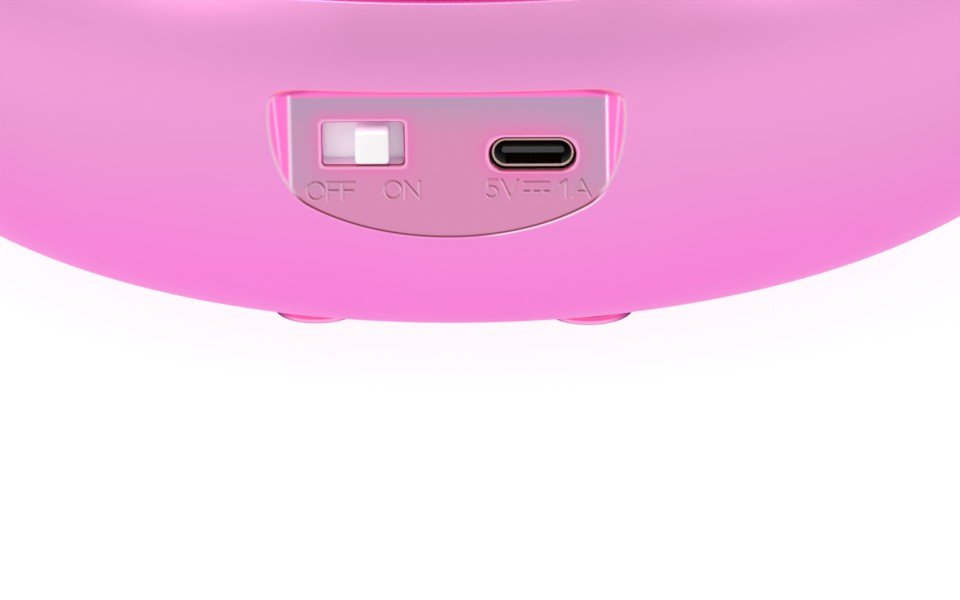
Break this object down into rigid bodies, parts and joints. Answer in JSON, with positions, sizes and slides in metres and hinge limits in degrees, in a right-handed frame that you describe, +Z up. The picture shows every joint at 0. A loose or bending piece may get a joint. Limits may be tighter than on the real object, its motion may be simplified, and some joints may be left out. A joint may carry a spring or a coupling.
{
  "type": "nail dust collector",
  "caption": "Round bowl-shaped desk-top nail dust collector: intake grille and filter on top, fan below, slide switch and USB-C socket in a polished front bay.",
  "frame": {"origin": "centre of the footprint, on the surface the collector stands on", "axes": "+Z up along the axis of the round case; -Y is the front, with the switch and the USB-C socket; +X is to the right seen from the front"},
  "size_m": [0.16, 0.1598, 0.061],
  "materials": {
    "satin_pink": "satin electroplated pink over moulded plastic",
    "polished_pink": "mirror electroplated pink over moulded plastic",
    "white_plastic": "satin white moulded plastic",
    "pale_plastic": "plain moulded plastic",
    "black_plastic": "black moulded plastic",
    "brown_laminate": "phenolic laminate",
    "steel": "zinc plated steel",
    "nickel": "nickel plated stamped shell",
    "mesh_metal": "brushed and punched",
    "rubber": "matt rubber",
    "foam": "closed-cell foam",
    "filter_paper": "pleated filter paper",
    "ribbon": "woven ribbon",
    "circuit_board": "solder mask over glass laminate",
    "copper": "enamelled copper wire",
    "gold": "gold plated contact",
    "magnet": "bonded ferrite",
    "cell_wrap": "aluminium laminate pouch",
    "amber_tape": "polyimide tape",
    "lead_red": "soft wire insulation",
    "lead_black": "soft wire insulation",
    "passive_parts": "ceramic and ferrite bodies"
  },
  "bodies": {
    "case": {"lower_shell": "satin_pink", "base_plate": "polished_pink", "foot_pads": "rubber", "base_screws": "steel", "case_screws": "steel", "trim_ring": "polished_pink", "top_cover": "satin_pink", "fan_deck": "pale_plastic", "deck_gasket": "foam", "deck_screws": "steel", "fan_frame": "black_plastic", "fan_screws": "steel", "fan_dampers": "rubber", "fan_stator": "steel", "fan_windings": "copper", "fan_bearings": "steel", "fan_board": "circuit_board", "fan_leads": "lead_red", "main_board": "circuit_board", "board_screws": "steel", "board_chips": "black_plastic", "board_passives": "passive_parts", "fan_connector": "white_plastic", "battery_connector": "white_plastic", "usb_shell": "nickel", "usb_tongue": "black_plastic", "usb_contacts": "gold", "switch_housing": "nickel", "switch_base": "brown_laminate", "switch_terminals": "nickel", "battery_cell": "cell_wrap", "battery_board": "amber_tape", "battery_pad": "foam", "battery_leads": "lead_black"},
    "rotor": {"fan_rotor": "black_plastic", "fan_shaft": "steel", "fan_magnet": "magnet", "shaft_clip": "steel"},
    "switch_slider": {"switch_knob": "white_plastic", "switch_actuator": "black_plastic"},
    "grille": {"grille_bezel": "polished_pink", "intake_grille": "mesh_metal"},
    "filter": {"filter_frame": "white_plastic", "filter_media": "filter_paper", "filter_seal": "rubber", "filter_tab": "ribbon"}
  },
  "joints": [
    {"name": "fan_spin", "type": "hinge", "parent": "case", "child": "rotor", "pos_m": [0, 0, 0.036], "axis": [0, 0, 1], "continuous": true},
    {"name": "switch_slide", "type": "slide", "parent": "case", "child": "switch_slider", "axis": [-1, 0, 0], "range_m": [0, 0.002]},
    {"name": "grille_lift", "type": "slide", "parent": "case", "child": "grille", "axis": [0, 0, 1], "range_m": [0, 0.06]},
    {"name": "filter_lift", "type": "slide", "parent": "case", "child": "filter", "axis": [0, 0, 1], "range_m": [0, 0.03]}
  ],
  "couplings": [
    {"joint": "filter_lift", "follows": "grille_lift", "ratio": 0.5}
  ]
}
